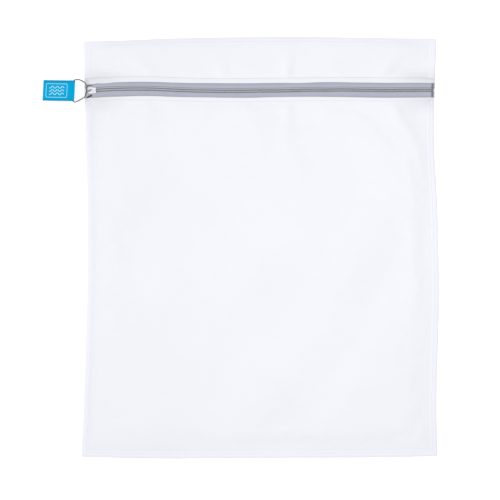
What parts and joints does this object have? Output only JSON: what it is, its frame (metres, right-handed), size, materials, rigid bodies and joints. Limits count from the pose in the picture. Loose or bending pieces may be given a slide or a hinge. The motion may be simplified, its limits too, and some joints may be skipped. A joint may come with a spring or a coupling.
{
  "type": "mesh laundry bag",
  "caption": "Flat rectangular white mesh laundry bag with a grey coil zip across its front, a folding flap above the zip, and a ribbon tag on the slider's ring.",
  "frame": {"origin": "middle of the back panel's underside, on the surface the bag lies on", "axes": "+X across the bag to its right, +Y up the bag to its top seam, +Z out of its front"},
  "size_m": [0.5591, 0.598, 0.0117],
  "materials": {
    "mesh": "fine woven polyester net, soft sheen",
    "seam": "the same net folded over itself",
    "thread": "polyester sewing thread",
    "tape": "woven herringbone zip tape",
    "coil": "nylon monofilament",
    "paint": "white enamel on zinc",
    "wire": "plated wire",
    "label": "woven satin ribbon"
  },
  "bodies": {
    "bag": {"back_panel": "mesh", "front_panel": "mesh", "flap_left_end": "mesh", "flap_right_end": "mesh", "side_seam_left": "seam", "side_seam_right": "seam", "top_seam": "seam", "bottom_seam": "seam", "front_hem": "seam", "flap_hem_left_end": "seam", "flap_hem_right_end": "seam", "seam_thread_left": "thread", "seam_thread_right": "thread", "seam_thread_top": "thread", "seam_thread_bottom": "thread", "front_hem_thread": "thread", "flap_hem_thread_left_end": "thread", "flap_hem_thread_right_end": "thread", "zip_tape_lower": "tape", "zip_tape_upper_left_end": "tape", "zip_tape_upper_right_end": "tape", "zip_coil_lower": "coil", "zip_coil_upper_left_end": "coil", "zip_coil_upper_right_end": "coil", "zip_end_binding": "coil", "zip_stop_left": "thread", "zip_stop_right": "thread"},
    "flap": {"flap_middle": "mesh", "flap_hem_middle": "seam", "flap_hem_thread_middle": "thread", "zip_tape_upper_middle": "tape", "zip_coil_upper_middle": "coil"},
    "slider": {"slider_body": "paint", "slider_crown": "paint"},
    "tab": {"pull_tab": "paint"},
    "ring": {"pull_ring": "wire"},
    "label": {"label_ribbon": "label", "label_thread": "thread"}
  },
  "joints": [
    {"name": "zip_slide", "type": "slide", "parent": "bag", "child": "slider", "axis": [1, 0, 0], "range_m": [0, 0.476]},
    {"name": "mouth_open", "type": "hinge", "parent": "bag", "child": "flap", "pos_m": [0, 0.289, 0.00515], "axis": [-1, 0, 0], "range_deg": [0, 65]},
    {"name": "tab_flip", "type": "hinge", "parent": "slider", "child": "tab", "pos_m": [-0.2397, 0.2235, 0.00765], "axis": [-0.1736, 0.9848, 0], "range_deg": [0, 100]},
    {"name": "ring_swing", "type": "hinge", "parent": "tab", "child": "ring", "pos_m": [-0.24777, 0.22208, 0.00905], "axis": [0.0523, 0.9986, 0], "range_deg": [0, 40]},
    {"name": "label_swing", "type": "hinge", "parent": "ring", "child": "label", "pos_m": [-0.26601, 0.22272, 0.00809], "axis": [0.0523, 0.9986, 0], "range_deg": [0, 35]}
  ],
  "couplings": [
    {"joint": "mouth_open", "follows": "zip_slide", "rad_per_m": 2.3832}
  ]
}
